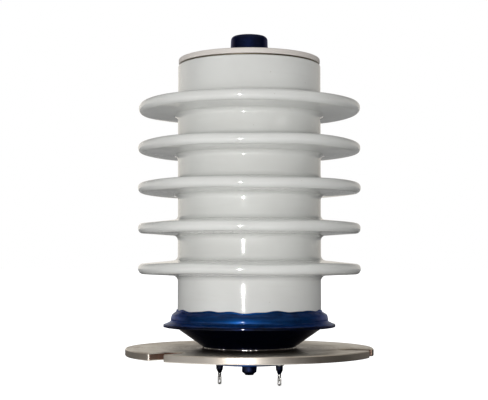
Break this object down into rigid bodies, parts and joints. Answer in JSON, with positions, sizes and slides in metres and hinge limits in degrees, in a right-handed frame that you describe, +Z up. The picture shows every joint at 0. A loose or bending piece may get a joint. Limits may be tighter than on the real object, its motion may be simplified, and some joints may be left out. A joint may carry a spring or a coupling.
{
  "type": "porcelain insulator",
  "caption": "Ribbed glazed porcelain insulator tube with an enamelled collar and terminal stud on a slotted round mounting flange, the housing of a sealed high-voltage switch.",
  "frame": {"origin": "centre of the mounting flange's underside", "axes": "+Z up the porcelain towards the terminal stud, +X through one bolt slot and one trigger terminal"},
  "size_m": [0.1716, 0.172, 0.244],
  "materials": {
    "porcelain": "gloss glaze, faintly warm grey white",
    "navy_enamel": "brushed gloss enamel, dark navy",
    "pan_metal": "gloss enamel, nearly black navy",
    "cover_ceramic": "unglazed, finely turned, faint pink beige",
    "seal_metal": "dull brazed nickel-iron edge",
    "flange_metal": "nickel plated, machined rim, faint brown tint",
    "weld_metal": "uneven weld bead",
    "nickel_iron": "drawn nickel-iron",
    "terminal_ceramic": "matt alumina",
    "tag_metal": "tinned, bright",
    "exhaust_metal": "pinched copper",
    "copper_rod": "oxygen-free copper, machined",
    "electrode_metal": "turned copper alloy",
    "shield_metal": "spun nickel",
    "getter_alloy": "pressed grey powder"
  },
  "bodies": {
    "root": {"porcelain_tube": "porcelain", "porcelain_shed_1": "porcelain", "porcelain_shed_2": "porcelain", "porcelain_shed_3": "porcelain", "porcelain_shed_4": "porcelain", "porcelain_shed_5": "porcelain", "top_seal_ring": "seal_metal", "top_cover": "cover_ceramic", "terminal_stud": "navy_enamel", "stud_seal_washer": "seal_metal", "anode_stem": "copper_rod", "anode_electrode": "electrode_metal", "anode_shield": "shield_metal", "cathode_post": "copper_rod", "cathode_electrode": "electrode_metal", "cathode_shield": "shield_metal", "collar_ring": "navy_enamel", "base_seal_ring": "seal_metal", "lower_pan": "pan_metal", "rim_weld": "navy_enamel", "foot_weld": "weld_metal", "mounting_flange": "flange_metal", "header": "navy_enamel", "terminal_eyelet_right": "nickel_iron", "terminal_eyelet_left": "nickel_iron", "terminal_bead_right": "navy_enamel", "terminal_bead_left": "navy_enamel", "trigger_rod_right": "nickel_iron", "trigger_rod_left": "nickel_iron", "trigger_sleeve_right": "terminal_ceramic", "trigger_sleeve_left": "terminal_ceramic", "solder_tag_right": "tag_metal", "solder_tag_left": "tag_metal", "exhaust_tube": "exhaust_metal", "exhaust_cap": "navy_enamel", "getter_channel": "shield_metal", "getter_fill": "getter_alloy", "getter_legs": "shield_metal"}
  },
  "joints": []
}
